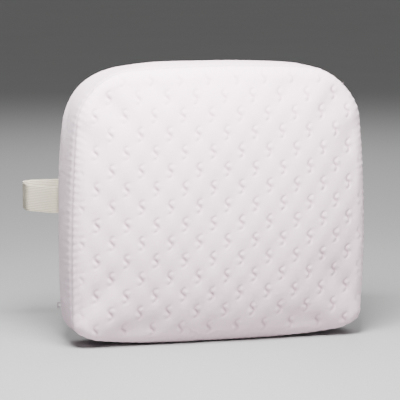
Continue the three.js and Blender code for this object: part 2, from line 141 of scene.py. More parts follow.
class Finish:
    """A material under construction, with a Principled shader whose own sockets hold constants."""

    def __init__(self, name, **constants):
        self.material = bpy.data.materials.new(name)
        self.material.use_nodes = True
        self.nodes = self.material.node_tree.nodes
        self.links = self.material.node_tree.links
        self.shader = self.nodes["Principled BSDF"]
        for socket, value in constants.items():
            self.set(socket.replace("_", " "), value)

    def put(self, socket, value):
        if isinstance(value, Value):
            self.links.new(value.socket, socket)
        else:
            socket.default_value = value

    def set(self, socket, value):
        self.put(self.shader.inputs[socket], value)

    def node(self, kind, settings=None, sockets=(), output=0):
        """Makes a node: its settings first, then its sockets by position or by name."""
        made = self.nodes.new(kind)
        for setting, value in (settings or {}).items():
            setattr(made, setting, value)
        named = sockets.items() if isinstance(sockets, dict) else enumerate(sockets)
        for socket, value in named:
            self.put(made.inputs[socket], value)
        return Value(self, made.outputs[output])

    def place(self):
        return self.node("ShaderNodeTexCoord", output="Object")

    def axes(self):
        """The three numbers of the place on the object, in metres."""
        parts = self.node("ShaderNodeSeparateXYZ", sockets=[self.place()])
        outputs = parts.socket.node.outputs
        return [Value(self, outputs[k]) for k in range(3)]

    def wave(self, length, pitch):
        """From -1 to 1: the sine of two pi times a length over a pitch."""
        return (length * (2 * math.pi / pitch)).math("SINE")

    def noise(self, scale, detail=2.0):
        sockets = {"Vector": self.place(), "Scale": scale, "Detail": detail}
        return self.node("ShaderNodeTexNoise", {}, sockets)

    def painted(self, name):
        """A number that the mesh carries at each point."""
        return self.node("ShaderNodeAttribute", {"attribute_name": name}, output="Fac")

    def mix(self, factor, first, second):
        """A colour between two colours."""
        made = self.nodes.new("ShaderNodeMix")
        made.data_type = "RGBA"
        self.put(made.inputs["Factor"], factor)
        for place, color in ((MIX_FIRST, first), (MIX_SECOND, second)):
            self.put(made.inputs[place], color if isinstance(color, Value) else (*color, 1))
        return Value(self, made.outputs[MIX_RESULT])

    def finished(self, color, roughness, height, distance, strength):
        """Sets colour and roughness, adds a bump of the height times the distance, and gives the
        material."""
        self.set("Base Color", color if isinstance(color, Value) else (*color, 1))
        self.set("Roughness", roughness)
        sockets = {"Height": height, "Distance": distance, "Strength": strength}
        self.set("Normal", self.node("ShaderNodeBump", {}, sockets))
        return self.material


# %% [markdown]
# ## Cloth finishes
# The front is a thick jersey knit, off-white with a little pink, and its pressed-in strokes and
# its seams are painted darker, as painted shade in the hollows. The strokes' depth is painted on
# the mesh, so colour and shape agree. The sides are a plain knit, the back is an open net, and fine
# yarns are bump.

# %% Cloth materials
PALE_CLOTH = (0.88, 0.685, 0.75)
SHADED_CLOTH = (0.56, 0.35, 0.44)
# The side knit is more lilac than the front, and darker as painted shade.
SIDE_CLOTH = (0.77, 0.585, 0.67)
FUZZ_COLOR = (0.93, 0.84, 0.87)
YARN = 0.0011
COURSE = 0.00088
TINT_SHARE = 0.16
HOLLOW_SHARE = 0.72
NET_PITCH = 0.0036
NET_HEIGHT_SHARE = 0.58
HOLE_LEVEL = 0.25


def jersey(name, pale, shaded):
    """Knitted cloth: courses of small V stitches, as the product of two sine waves at right
    angles, with a soft fuzz, slow tint changes, and painted shade in the hollows and seams."""
    cloth = Finish(name, Sheen_Weight=0.25, Sheen_Roughness=0.5, Specular_IOR_Level=0.2)
    loops = cloth.wave(cloth.painted("along"), YARN) * cloth.wave(cloth.painted("across"), COURSE)
    fuzz = cloth.noise(900.0, 3.0)
    # Random tint plus painted shade in the hollows and along the seams, as numbers the mesh
    # carries.
    fade = cloth.noise(9.0) * TINT_SHARE + cloth.painted("hollow_shade") * HOLLOW_SHARE
    color = cloth.mix(fade.math("MINIMUM", 0.9), pale, shaded)
    color = cloth.mix((fuzz - 0.5) * 0.25 + 0.06, color, FUZZ_COLOR)
    return cloth.finished(color, 0.8 + fuzz * 0.2, loops * 0.5 + fuzz, 0.00025, 0.7)


def open_net(name, pale, shaded):
    """Spacer net: round holes on a staggered grid, where two slanted waves' product is high. The
    holes are painted dark as shade.
    """
    cloth = Finish(name, Sheen_Weight=0.2, Specular_IOR_Level=0.2)
    along, across = cloth.painted("along"), cloth.painted("across") * NET_HEIGHT_SHARE
    holes = cloth.wave(along + across, NET_PITCH) * cloth.wave(along - across, NET_PITCH)
    depth = (holes - HOLE_LEVEL).math("MAXIMUM", 0.0) * 1.35
    fuzz = cloth.noise(700.0)
    # Painted shade: dark in the holes, and darker along the seams.
    color = cloth.mix(depth.math("MINIMUM", 0.85), pale, shaded)
    color = cloth.mix(cloth.painted("hollow_shade") * 0.4, color, shaded)
    return cloth.finished(color, 0.85 + fuzz * 0.12, fuzz * 0.3 - depth, 0.0006, 0.9)


front_finish = jersey("dimpled_jersey", PALE_CLOTH, SHADED_CLOTH)
side_finish = jersey("plain_jersey", SIDE_CLOTH, (0.56, 0.46, 0.51))
patch_finish = jersey("patch_cloth", (0.72, 0.64, 0.68), (0.55, 0.46, 0.50))
liner_finish = jersey("liner_knit", (0.78, 0.75, 0.75), (0.66, 0.62, 0.62))
net_finish = open_net("back_net", (0.76, 0.635, 0.685), (0.30, 0.22, 0.26))
print("cloth finishes", len(bpy.data.materials))

# %% [markdown]
# ## Webbing, thread, foam, plastic and metal
# Elastic webbing shows fine cords along its length, crossed by a tighter weave. The painted
# numbers `along` and `across` give the distance over the webbing, so the weave follows each bend.

# %% Other materials
RIB_PITCH = 0.0019
PICK_PITCH = 0.0012
STRAND_PITCH = 0.0006
ELASTIC_FUZZ = (0.66, 0.62, 0.50)
CELL_COLOR = (0.66, 0.56, 0.32)


def darker(color, share):
    return tuple(channel * share for channel in color)


def woven_elastic(name, color, dark):
    """Ribs across the width and picks along the length, as sine waves of the painted lengths."""
    weave = Finish(name, Sheen_Weight=0.15, Specular_IOR_Level=0.25)
    across = weave.painted("across")
    ribs = weave.wave(across, RIB_PITCH)
    picks = weave.wave(weave.painted("along") + across * 0.2, PICK_PITCH)
    shade = 0.5 - ribs * 0.3 - picks * 0.2
    fuzz = weave.noise(400.0)
    color = weave.mix(fuzz * 0.35, weave.mix(shade.math("MAXIMUM", 0.0), color, dark), ELASTIC_FUZZ)
    height = ribs * 0.5 + picks * 0.5 + fuzz * 0.3
    return weave.finished(color, 0.78 + fuzz * 0.18, height, 0.0002, 0.8)


def moulded(name, color, roughness):
    """Moulded plastic: a fine even texture and faint flow marks."""
    plastic = Finish(name, IOR=1.5)
    grain = plastic.noise(1800.0)
    color = plastic.mix(plastic.noise(60.0) * 0.25, color, darker(color, 0.86))
    return plastic.finished(color, grain * 0.12 + (roughness - 0.06), grain, 0.00005, 0.5)


def die_cast(name, color):
    """Plated die casting: metal with tiny casting marks and slightly uneven polish."""
    metal = Finish(name, Metallic=1.0)
    marks = metal.noise(900.0)
    return metal.finished(color, marks * 0.18 + 0.24, marks, 0.00003, 0.6)


def open_foam(name, color):
    """Moulded foam: a skin with small open cells."""
    foam = Finish(name, Specular_IOR_Level=0.15)
    cells = foam.node("ShaderNodeTexVoronoi", {}, {"Vector": foam.place(), "Scale": 650.0})
    return foam.finished(foam.mix(cells * 0.5, color, CELL_COLOR), 0.95, cells, 0.0006, 0.6)


def twisted_thread(name, color):
    """Sewing thread: slanted strands and a slight gloss."""
    thread = Finish(name, Sheen_Weight=0.2)
    x, y, z = thread.axes()
    strands = thread.wave(x + y + z, STRAND_PITCH)
    color = thread.mix(strands * 0.3 + 0.3, color, darker(color, 0.72))
    return thread.finished(color, 0.6, strands, 0.00008, 0.7)


IVORY = (0.68, 0.61, 0.465)
elastic_finish = woven_elastic("ivory_elastic", IVORY, (0.36, 0.33, 0.25))
tape_finish = woven_elastic("zip_tape_weave", (0.74, 0.68, 0.70), (0.48, 0.42, 0.45))
buckle_finish = moulded("buckle_plastic", (0.66, 0.63, 0.55), 0.42)
coil_finish = moulded("zip_coil_nylon", (0.78, 0.74, 0.75), 0.35)
metal_finish = die_cast("plated_zinc", (0.70, 0.70, 0.72))
foam_finish = open_foam("cream_foam", (0.82, 0.75, 0.52))
thread_finish = twisted_thread("pale_thread", (0.82, 0.77, 0.78))
satin_finish = woven_elastic("label_satin", (0.88, 0.86, 0.85), (0.70, 0.68, 0.67))
print("finishes", len(bpy.data.materials))

# %% [markdown]
# ## Grids of points
# Every soft piece is a sheet of points in rows and columns. A sheet becomes cloth with two sides
# and closed edges when a coarser inner sheet is joined to it, so the fine side keeps its detail
# and the hidden side stays light.

# %% Sheets into meshes


def grid_quads(rows, columns, wrap=False):
    """Four corners for each cell of a grid whose points are numbered row by row."""
    index = np.arange(rows * columns).reshape(rows, columns)
    if wrap:
        index = np.column_stack([index, index[:, :1]])
    corners = [index[:-1, :-1], index[:-1, 1:], index[1:, 1:], index[1:, :-1]]
    return np.stack(corners, -1).reshape(-1, 4)


def new_piece(name, points, faces, finish, painted=None):
    """A mesh object at the origin from points, blocks of faces and painted numbers."""
    mesh = bpy.data.meshes.new(name)
    polygons = [polygon for block in faces for polygon in block.tolist()]
    mesh.from_pydata(np.asarray(points, float).reshape(-1, 3).tolist(), [], polygons)
    mesh.polygons.foreach_set("use_smooth", np.ones(len(polygons), bool))
    for label, numbers in (painted or {}).items():
        attribute = mesh.attributes.new(label, "FLOAT", "POINT")
        attribute.data.foreach_set("value", np.asarray(numbers, np.float32).ravel())
    mesh.materials.append(finish)
    mesh.update()
    return linked(name, mesh)


def reworked(piece, *steps):
    """Runs steps on a piece's mesh while its faces and edges can be edited."""
    work = bmesh.new()
    work.from_mesh(piece.data)
    for step in steps:
        step(work)
    work.to_mesh(piece.data)
    work.free()
    return piece


def merge_within(distance):
    return lambda work: bmesh.ops.remove_doubles(work, verts=work.verts, dist=distance)


def face_outwards(work):
    bmesh.ops.recalc_face_normals(work, faces=work.faces)


def declared(piece, body, slot, *nodes):
    """Says which body a piece rides and which model pieces it stands for. The slot is not used."""
    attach(piece, body)
    if nodes:
        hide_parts(*nodes)
    return piece


def box(node):
    """The lowest and highest corners of a model piece's box."""
    return tuple(np.array(corner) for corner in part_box(node))


def unit(vectors):
    return vectors / np.maximum(np.linalg.norm(vectors, axis=-1, keepdims=True), 1e-12)


def outward(sheet, wrap=False):
    """Unit normals of a sheet: the cross product of its changes along columns and along rows."""
    if wrap:
        joined = np.concatenate([sheet[:, -1:], sheet, sheet[:, :1]], 1)
        along = np.gradient(joined, axis=1)[:, 1:-1]
    else:
        along = np.gradient(sheet, axis=1)
    return unit(np.cross(along, np.gradient(sheet, axis=0)))


def rim(fine, coarse, step):
    """Closes one edge: each polygon joins a run of fine points to two coarse ones."""
    count = len(coarse) - 1
    start = np.arange(count) * step
    runs = fine[start[:, None] + np.arange(step + 1)[None, :]]
    return np.column_stack([runs[:, ::-1], coarse[:-1], coarse[1:]])


def cloth_piece(name, sheet, thickness, step, finish, painted, wrap=False):
    """A closed piece of cloth: the fine sheet outside, every step-th point again inside, set in
    along the normals by the thickness, and a rim round the open edges."""
    rows, columns = sheet.shape[:2]
    inner = (sheet - outward(sheet, wrap) * thickness)[::step, ::step]
    fine = np.arange(rows * columns).reshape(rows, columns)
    coarse = np.arange(inner.shape[0] * inner.shape[1]).reshape(inner.shape[:2]) + fine.size
    if wrap:
        fine = np.column_stack([fine, fine[:, :1]])
        coarse = np.column_stack([coarse, coarse[:, :1]])
    faces = [grid_quads(rows, columns, wrap)]
    faces.append(grid_quads(*inner.shape[:2], wrap)[:, ::-1] + rows * columns)
    edges = [(fine[0], coarse[0]), (fine[-1][::-1], coarse[-1][::-1])]
    if not wrap:
        edges += [(fine[:, -1], coarse[:, -1]), (fine[::-1, 0], coarse[::-1, 0])]
    faces += [rim(*edge, step) for edge in edges]
    points = np.concatenate([sheet.reshape(-1, 3), inner.reshape(-1, 3)])
    both = {k: np.concatenate([v.ravel(), v[::step, ::step].ravel()]) for k, v in painted.items()}
    return new_piece(name, points, faces, finish, both)


def finer(sheet, step, axis, wrap=False):
    """Puts step - 1 points between neighbours along an axis, on Catmull-Rom curves: each new point
    mixes four old ones with weights that are cubics of the place between them."""
    data = np.moveaxis(sheet, axis, 0)
    if wrap:
        padded = np.concatenate([data[-1:], data, data[:2]])
    else:
        padded = np.concatenate([[2 * data[0] - data[1]], data, [2 * data[-1] - data[-2]]])
    p0, p1, p2, p3 = padded[:-3], padded[1:-2], padded[2:-1], padded[3:]
    pieces = []
    for t in np.arange(step) / step:
        bend = (2 * p0 - 5 * p1 + 4 * p2 - p3) * t * t + (3 * p1 - p0 - 3 * p2 + p3) * t**3
        pieces.append(p1 + 0.5 * ((p2 - p0) * t + bend))
    dense = np.stack(pieces, 1).reshape(-1, *data.shape[1:])
    if not wrap:
        dense = np.concatenate([dense, data[-1:]])
    return np.moveaxis(dense, 0, axis)


# %% [markdown]
# ## The cushion's shape
# The front, the back and the sides are one closed net at first. The front and the back are square
# grids whose corners are bent round, and the sides run between their edges. The thickness follows
# the model: slim at the base, deepest at the waist. A crown makes the front swell in the middle.

# %% Shape of the cushion
box_high = box("side_gusset")[1]
HEIGHT = box_high[2]
HALF_BASE = box_high[0] - 0.0015
HALF_TOP = HALF_BASE - 0.009
SIDE_BOW = 0.0045
CORNER_BASE = 0.030
CORNER_TOP = 0.058
SHOULDER_DROP = 0.009
BASE_LIFT = 0.011
LIFT_HEIGHT = 0.030
EDGE = 0.012
WAIST = 0.165
FRONT_CROWN = 0.015
FRONT_DEPTHS = (0.033, 0.041, 0.037)
BACK_DEPTHS = (0.0325, 0.056, 0.0425)
BACK_FLAT = box_high[1] - 0.0008
zip_middle = sum(box("zip_coil_upper") + box("zip_coil_lower")) / 4
ZIP_LEVEL = zip_middle[2]
ZIP_OPENING = 0.0054


def depth_at(z, depths):
    """Distance from the middle plane: a quarter sine up to the waist and a quarter cosine above."""
    base, waist, top = depths
    below = base + (waist - base) * np.sin(np.clip(z / WAIST, 0, 1) * np.pi / 2)
    above = top + (waist - top) * np.cos(np.clip((z - WAIST) / (HEIGHT - WAIST), 0, 1) * np.pi / 2)
    return np.where(z < WAIST, below, above)


def back_at(z):
    return np.minimum(depth_at(z, BACK_DEPTHS), BACK_FLAT)


def rounded_grid(across, upward, inset):
    """Bends a rectangle's grid into round corners. In each corner square, with a and b from 0 to 1,
    a becomes a * sqrt(1 - b*b/2) and b becomes b * sqrt(1 - a*a/2). Also gives each point's
    distance to the edge."""
    x, z = np.meshgrid(across, upward)
    half = HALF_BASE - inset
    edge = np.minimum(half - np.abs(x), np.minimum(z - inset, HEIGHT - inset - z))
    top = HEIGHT - inset
    for level, way, corner in ((inset, -1, CORNER_BASE - inset), (top, 1, CORNER_TOP - inset)):
        a = (np.abs(x) - (half - corner)) / corner
        b = way * (z - level) / corner + 1
        inside = (a > 0) & (b > 0)
        round_a = a * np.sqrt(np.clip(1 - b * b / 2, 0, 1))
        round_b = b * np.sqrt(np.clip(1 - a * a / 2, 0, 1))
        edge = np.where(inside, corner * (1 - np.hypot(round_a, round_b)), edge)
        x = np.where(inside, np.sign(x) * (half - corner + corner * round_a), x)
        z = np.where(inside, level + way * corner * (round_b - 1), z)
    return x, z, np.maximum(edge, 0)


def tailored(x, z):
    """Tapers the width to the top, bows the sides, drops the shoulders, lifts the base's ends."""
    share = z / HEIGHT
    reach = np.abs(x) / HALF_BASE
    width = HALF_BASE + (HALF_TOP - HALF_BASE) * share**2 + SIDE_BOW * 4 * share * (1 - share)
    lift = BASE_LIFT * reach**3 * np.clip(1 - z / LIFT_HEIGHT, 0, 1) ** 2
    return x * width / HALF_BASE, z - SHOULDER_DROP * reach**2 * share**3 + lift


print("cushion", round(2 * HALF_BASE, 3), "by", round(HEIGHT, 3))

# %% [markdown]
# ## The net of the cover
# Grid lines crowd together near the edges, where the cloth turns, and are even in between. The
# back is one edge radius smaller all round, and the side's last rows turn over that radius to
# meet it.

# %% The net
EDGE_STEPS = 5
INNER_LINES = 67
SIDE_ROWS = 14
CROWN_POWER = 2.4


def lines(half, band):
    """Grid lines from -half to half, crowded over the band at each end as on a quarter circle."""
    turns = np.arange(EDGE_STEPS, 0, -1) / EDGE_STEPS * np.pi / 2
    ends = half - band * (1 - np.sin(turns))
    middle = np.linspace(band - half, half - band, INNER_LINES)
    return np.concatenate([-ends, middle, ends[::-1]])


def front_sheet():
    half = HEIGHT / 2
    x, z, edge = rounded_grid(lines(HALF_BASE, EDGE), lines(half, EDGE) + half, 0)
    reach = np.abs(x) / HALF_BASE
    rise = np.abs(z / half - 1)
    fall = np.clip(1 - edge / EDGE, 0, 1)
    drop = EDGE * (1 - np.sqrt(1 - fall**2))
    crown = FRONT_CROWN * (1 - reach**CROWN_POWER) * (1 - rise**CROWN_POWER)
    y = drop - depth_at(z, FRONT_DEPTHS) - crown
    x, z = tailored(x, z)
    return np.stack([x, y, z], -1)


def back_sheet():
    half = HEIGHT / 2
    shrink = (half - EDGE) / half
    upward = half + lines(half, EDGE) * shrink
    for level in (ZIP_LEVEL - ZIP_OPENING, ZIP_LEVEL + ZIP_OPENING):
        upward[np.argmin(np.abs(upward - level))] = level
    across = lines(HALF_BASE, EDGE) * (HALF_BASE - EDGE) / HALF_BASE
    x, z, _ = rounded_grid(across, upward, EDGE)
    y = back_at(z)
    x, z = tailored(x, z)
    return np.stack([x, y, z], -1), upward


def border(sheet):
    """The sheet's edge points once round, anticlockwise seen from the front."""
    return np.concatenate([sheet[0, :-1], sheet[:-1, -1], sheet[-1, :0:-1], sheet[:0:-1, 0]])


def side_sheet(front, back):
    """Rows from the front seam straight back, then over a quarter circle to the back seam."""
    near, far = border(front), border(back)
    turn_start = far[:, 1] - EDGE
    rows = []
    for share in np.linspace(0, 1, SIDE_ROWS):
        rows.append(near.copy())
        rows[-1][:, 1] += (turn_start - near[:, 1]) * share
    for turn in np.arange(1, EDGE_STEPS + 1) / EDGE_STEPS * np.pi / 2:
        row = near + (far - near) * (1 - np.cos(turn))
        row[:, 1] = turn_start + EDGE * np.sin(turn)
        rows.append(row)
    return np.stack(rows)


front_net = front_sheet()
back_net, back_levels = back_sheet()
side_net = side_sheet(front_net, back_net)
print("net", front_net.shape, side_net.shape)

# %% [markdown]
# ## Inflating the cover
# A sewn cover is slightly smaller than its foam, so it is tight: the panels swell between their
# seams and the seams stay back. Blender's cloth solver does this well. The net is held at its
# seams and round the zip, a small pressure fills it, and the movement is capped so that sizes
# stay true.

# %% Inflation
PRESSURE = 4.0
SOLVER_QUALITY = 5
SOLVER_FRAMES = 20
FRONT_CAP = 0.006
SIDE_CAP = 0.004
BACK_CAP = 0.0006
EVENING_PASSES = 8
ZIP_HOLD = 1.5


def evened(move, wrap=False):
    """Smooths a sheet of moves: each pass takes an inner move halfway to its neighbours' mean."""
    for _ in range(EVENING_PASSES):
        if wrap:
            move = np.concatenate([move[:, -1:], move, move[:, :1]], 1)
        inner = (move[:-2, 1:-1] + move[2:, 1:-1] + move[1:-1, :-2] + move[1:-1, 2:]) / 4
        move = move.copy()
        move[1:-1, 1:-1] = (move[1:-1, 1:-1] + inner) / 2
        if wrap:
            move = move[:, 1:-1]
    return move


def inflate(front, side, back, back_levels):
    """Runs the cloth solver on the closed net and returns the three sheets moved by at most a cap.
    A move m becomes cap * tanh(|m| / cap) along its own direction."""
    count, loop = front.shape[0], side.shape[1]
    total = count * count
    index = np.arange(total).reshape(count, count)
    back_index = index + total
    inner = np.arange((side.shape[0] - 2) * loop).reshape(-1, loop) + 2 * total
    ring = np.concatenate([[border(index)], inner, [border(back_index)]])
    closed = np.column_stack([ring, ring[:, :1]])
    walls = np.stack([closed[:-1, :-1], closed[1:, :-1], closed[1:, 1:], closed[:-1, 1:]], -1)
    front_faces = grid_quads(count, count)
    faces = [front_faces, front_faces[:, ::-1] + total, walls.reshape(-1, 4)]
    start = np.concatenate([front.reshape(-1, 3), back.reshape(-1, 3), side[1:-1].reshape(-1, 3)])
    held = set(border(index).tolist()) | set(border(back_index).tolist())
    near_zip = np.abs(back_levels - ZIP_LEVEL) < ZIP_OPENING * ZIP_HOLD
    held |= set(back_index[near_zip].ravel().tolist())
    net = new_piece("net", start, faces, front_finish)
    group = net.vertex_groups.new(name="held")
    group.add(sorted(held), 1.0, "REPLACE")
    cloth = net.modifiers.new("cloth", "CLOTH")
    settings = cloth.settings
    settings.vertex_group_mass = "held"
    settings.use_pressure = True
    settings.uniform_pressure_force = PRESSURE
    settings.quality = SOLVER_QUALITY
    settings.effector_weights.gravity = 0
    cloth.collision_settings.use_collision = False
    scene = bpy.context.scene
    for number in range(1, SOLVER_FRAMES + 1):
        scene.frame_set(number)
    moved = net.evaluated_get(bpy.context.evaluated_depsgraph_get())
    places = np.zeros(start.size, np.float32)
    moved.data.vertices.foreach_get("co", places)
    move = places.reshape(-1, 3) - start
    cap = np.full((len(start), 1), SIDE_CAP)
    cap[:total] = FRONT_CAP
    cap[total : 2 * total] = BACK_CAP
    size = np.maximum(np.linalg.norm(move, axis=1, keepdims=True), 1e-9)
    print("inflated by up to", round(float(size.max()) * 1000, 1), "mm before the cap")
    move = move / size * cap * np.tanh(size / cap)
    mesh = net.data
    bpy.data.objects.remove(net)
    bpy.data.meshes.remove(mesh)
    scene.frame_set(1)
    front_move = evened(move[:total].reshape(count, count, 3))
    back_move = evened(move[total : 2 * total].reshape(count, count, 3))
    side_move = move[2 * total :].reshape(-1, loop, 3)
    side_move = np.concatenate([[border(front_move)], side_move, [border(back_move)]])
    return front + front_move, side + evened(side_move, wrap=True), back + back_move


front_net, side_net, back_net = inflate(front_net, side_net, back_net, back_levels)
print("front reaches", round(float(front_net[..., 1].min()), 4))

# %% [markdown]
# ## Pressed strokes
# Small hooked strokes are pressed into the front in staggered rows, and the cloth swells softly
# between them. They could be bump only, but real hollows catch the light from the side and show
# in the outline, so they are pushed into the fine sheet along its normals.

# %% Strokes
STROKE_PITCH = 0.032
STROKE_ROWS = 0.0198
STROKE_RADIUS = 0.0041
STROKE_WIDTH = 0.0012
STROKE_DEPTH = 0.0017
STROKE_TILT = math.radians(-36)
STROKE_STRETCH = 1.1
HOOK_START = math.radians(138)
HOOK_DEPTH_SHARE = 0.3
SPINE_REACH = 0.0045
PUFF_REACH = 0.0026


def hill(distance, width):
    """A smooth hill of height 1: exp(-(distance / width)^2)."""
    return np.exp(-((distance / width) ** 2))


def strokes(x, z):
    """Grooves and puffs from 0 to 1 in a staggered lattice of tilted hooked strokes. A stroke is
    two arcs that meet in its middle. The groove is a hill of the distance to the arcs, and fades
    towards the hooks. A puff is a hill that fills each hook."""
    row = np.round(z / STROKE_ROWS)
    a = x - (row % 2) * STROKE_PITCH / 2
    a = a - np.round(a / STROKE_PITCH) * STROKE_PITCH
    b = z - row * STROKE_ROWS
    cos, sin = math.cos(STROKE_TILT), math.sin(STROKE_TILT)
    a, b = (a * cos + b * sin) / STROKE_STRETCH, b * cos - a * sin
    tip_a = STROKE_RADIUS * math.cos(HOOK_START)
    tip_b = STROKE_RADIUS * (1 + math.sin(HOOK_START))

    def arc(a, b):
        angle = np.arctan2(b - STROKE_RADIUS, a) % (2 * np.pi)
        on_arc = (angle > HOOK_START) & (angle < np.pi * 1.5)
        ring = np.abs(np.hypot(a, b - STROKE_RADIUS) - STROKE_RADIUS)
        return np.where(on_arc, ring, np.minimum(np.hypot(a - tip_a, b - tip_b), np.hypot(a, b)))

    distance = np.minimum(arc(a, b), arc(-a, -b))
    middle = np.exp(-(a * a + b * b) / SPINE_REACH**2)
    spine = HOOK_DEPTH_SHARE + (1 - HOOK_DEPTH_SHARE) * middle
    puff = np.exp(-(a * a + (np.abs(b) - STROKE_RADIUS) ** 2) / PUFF_REACH**2)
    return hill(distance, STROKE_WIDTH) * spine, puff


print("strokes in a row", int(2 * HALF_BASE / STROKE_PITCH))

# %% [markdown]
# ## Seams and the front cloth
# Each panel dips where it is sewn, and small gathers ripple beside the seam. The strokes stop a
# little before the seams, as quilting does.

# %% Seams and front panel
PUFF = 0.0005
CLOTH = 0.0022
SEAM_DEPTH = 0.0026
SEAM_WIDTH = 0.0022
SEAM_SHADE = 0.002
GATHERS = 140
GATHER_DEPTH = 0.0005
GATHER_REACH = 0.0045
UNEVEN_BROAD = 0.0005
UNEVEN_SLANTED = 0.0003
PLAIN_BORDER = 0.010
FADE_WIDTH = 0.012
FRONT_STEP = 4
SIDE_STEP = 3


def steps_from_edge(sheet, wrap=False):
    """Each point's distance to the nearest open edge, measured along its row or column."""
    up = np.linalg.norm(np.diff(sheet, axis=0), axis=-1)
    rise = np.cumsum(np.pad(up, ((1, 0), (0, 0))), 0)
    nearest = np.minimum(rise, rise[-1:] - rise)
    if wrap:
        return nearest
    along = np.linalg.norm(np.diff(sheet, axis=1), axis=-1)
    run = np.cumsum(np.pad(along, ((0, 0), (1, 0))), 1)
    return np.minimum(nearest, np.minimum(run, run[:, -1:] - run))


def around_middle(sheet):
    """The angle round the cushion's middle: nothing at the top, and it wraps under the base."""
    return np.arctan2(sheet[..., 0], sheet[..., 2] - HEIGHT / 2)


def seam_dip(distance, angle):
    """The cloth dips into a seam as exp(-(d / width)^2). Small gathers ripple beside it: a sine of
    the angle times (d / reach) * exp(-d / reach), which is nothing at the seam itself."""
    ripple = np.sin(angle * GATHERS + 1.7 * np.sin(angle * 6))
    beside = distance / GATHER_REACH * np.exp(-distance / GATHER_REACH)
    return SEAM_DEPTH * hill(distance, SEAM_WIDTH) + GATHER_DEPTH * ripple * beside


def unevenness(a, b):
    """Soft foam never fills a cover quite evenly: a slow product of sines and a slanted sine."""
    broad = np.sin(a * 38 + 1.3) * np.sin(b * 31 + 0.4)
    return UNEVEN_BROAD * broad + UNEVEN_SLANTED * np.sin(a * 61 - b * 47)


def dense(sheet, step, wrap=False):
    """Finer along rows and along columns."""
    return finer(finer(sheet, step, 0), step, 1, wrap)


def front_panel():
    sheet = dense(front_net, FRONT_STEP)
    normal = outward(sheet)
    distance = steps_from_edge(sheet)
    angle = around_middle(sheet)
    flat_x, flat_z = sheet[..., 0], sheet[..., 2]
    fade = np.clip((distance - PLAIN_BORDER) / FADE_WIDTH, 0, 1)
    groove, puff = strokes(flat_x, flat_z)
    swell = np.cos(flat_x * 2 * np.pi / STROKE_PITCH) * np.cos(flat_z * np.pi / STROKE_ROWS)
    raised = PUFF * (puff - swell) - STROKE_DEPTH * groove + unevenness(flat_x, flat_z)
    sheet = sheet + normal * (raised * fade - seam_dip(distance, angle))[..., None]
    # Painted shade: darker in the strokes' grooves and along the seams.
    hollow_shade = groove * fade + 0.8 * hill(distance, SEAM_SHADE)
    painted = {"hollow_shade": np.clip(hollow_shade, 0, 1), "along": flat_x, "across": flat_z}
    return cloth_piece("quilted_front", sheet, CLOTH, FRONT_STEP, front_finish, painted)


def on_cushion(piece, slot, *nodes):
    """Declares a padded piece that rides on the cushion and stands for the model's pieces."""
    declared(piece, "root", slot, *nodes)
    return piece


quilted_front = on_cushion(front_panel(), "front_cloth", "front_panel")
print("front faces", len(quilted_front.data.polygons))

# %% [markdown]
# ## The sides and the back
# The side band is one strip of plain knit. The back is net in two parts, with the zip between
# them: beside the zip the net is folded under, so its edge stands up a little over the zip's
# tape.

# %% Side band and back panels
FOLD_RISE = 0.0016
FOLD_WIDTH = 0.004


def side_band():
    sheet = dense(side_net, SIDE_STEP, wrap=True)[:, ::-1]
    distance = steps_from_edge(sheet, wrap=True)
    angle = around_middle(sheet)
    normal = outward(sheet, wrap=True)
    fade = np.clip(distance / FADE_WIDTH, 0, 1)
    slant = sheet[..., 0] + 0.7 * sheet[..., 2]
    move = fade * unevenness(slant, sheet[..., 1]) - seam_dip(distance, angle)
    sheet = sheet + normal * move[..., None]
    sheet[..., 2] = np.maximum(sheet[..., 2], 0)
    # Painted shade along the seams.
    hollow_shade = 1.2 * hill(distance, 1.2 * SEAM_SHADE)
    painted = {"hollow_shade": hollow_shade, "along": angle * HEIGHT * 0.6, "across": sheet[..., 1]}
    return cloth_piece("side_band", sheet, CLOTH, SIDE_STEP, side_finish, painted, wrap=True)


def back_part(name, rows, zip_row):
    """One part of the back. The row beside the zip rises by a folded edge's height."""
    sheet = dense(back_net[rows][:, ::-1], SIDE_STEP)
    distance = steps_from_edge(sheet)
    level = sheet[..., 2]
    fold = hill(level - level[zip_row], FOLD_WIDTH)
    dip = seam_dip(distance, around_middle(sheet)) * (1 - fold)
    sheet = sheet + outward(sheet) * (FOLD_RISE * fold - dip)[..., None]
    # Painted shade along the seams.
    hollow_shade = 0.8 * hill(distance, SEAM_SHADE)
    painted = {"hollow_shade": hollow_shade, "along": sheet[..., 0], "across": level}
    return cloth_piece(name, sheet, CLOTH * 0.8, SIDE_STEP, net_finish, painted)


below_zip = back_levels <= ZIP_LEVEL - ZIP_OPENING + 1e-6
above_zip = back_levels >= ZIP_LEVEL + ZIP_OPENING - 1e-6
on_cushion(side_band(), "gusset_cloth", "side_gusset")
on_cushion(back_part("back_net_upper", above_zip, 0), "back_net", "back_panel_upper")
on_cushion(back_part("back_net_lower", below_zip, -1), "back_net", "back_panel_lower")
print("back rows", int(below_zip.sum()), int(above_zip.sum()))

# %% [markdown]
# ## Inside the cover
# The foam block and its thin liner have the net's own shape, set in along its normals. They show
# only when the cover is taken off, so the net's coarse points are enough.

# %% Foam and liner
FOAM_INSET = 0.0062
LINER_INSET = 0.0044
MERGE_WITHIN = 0.003


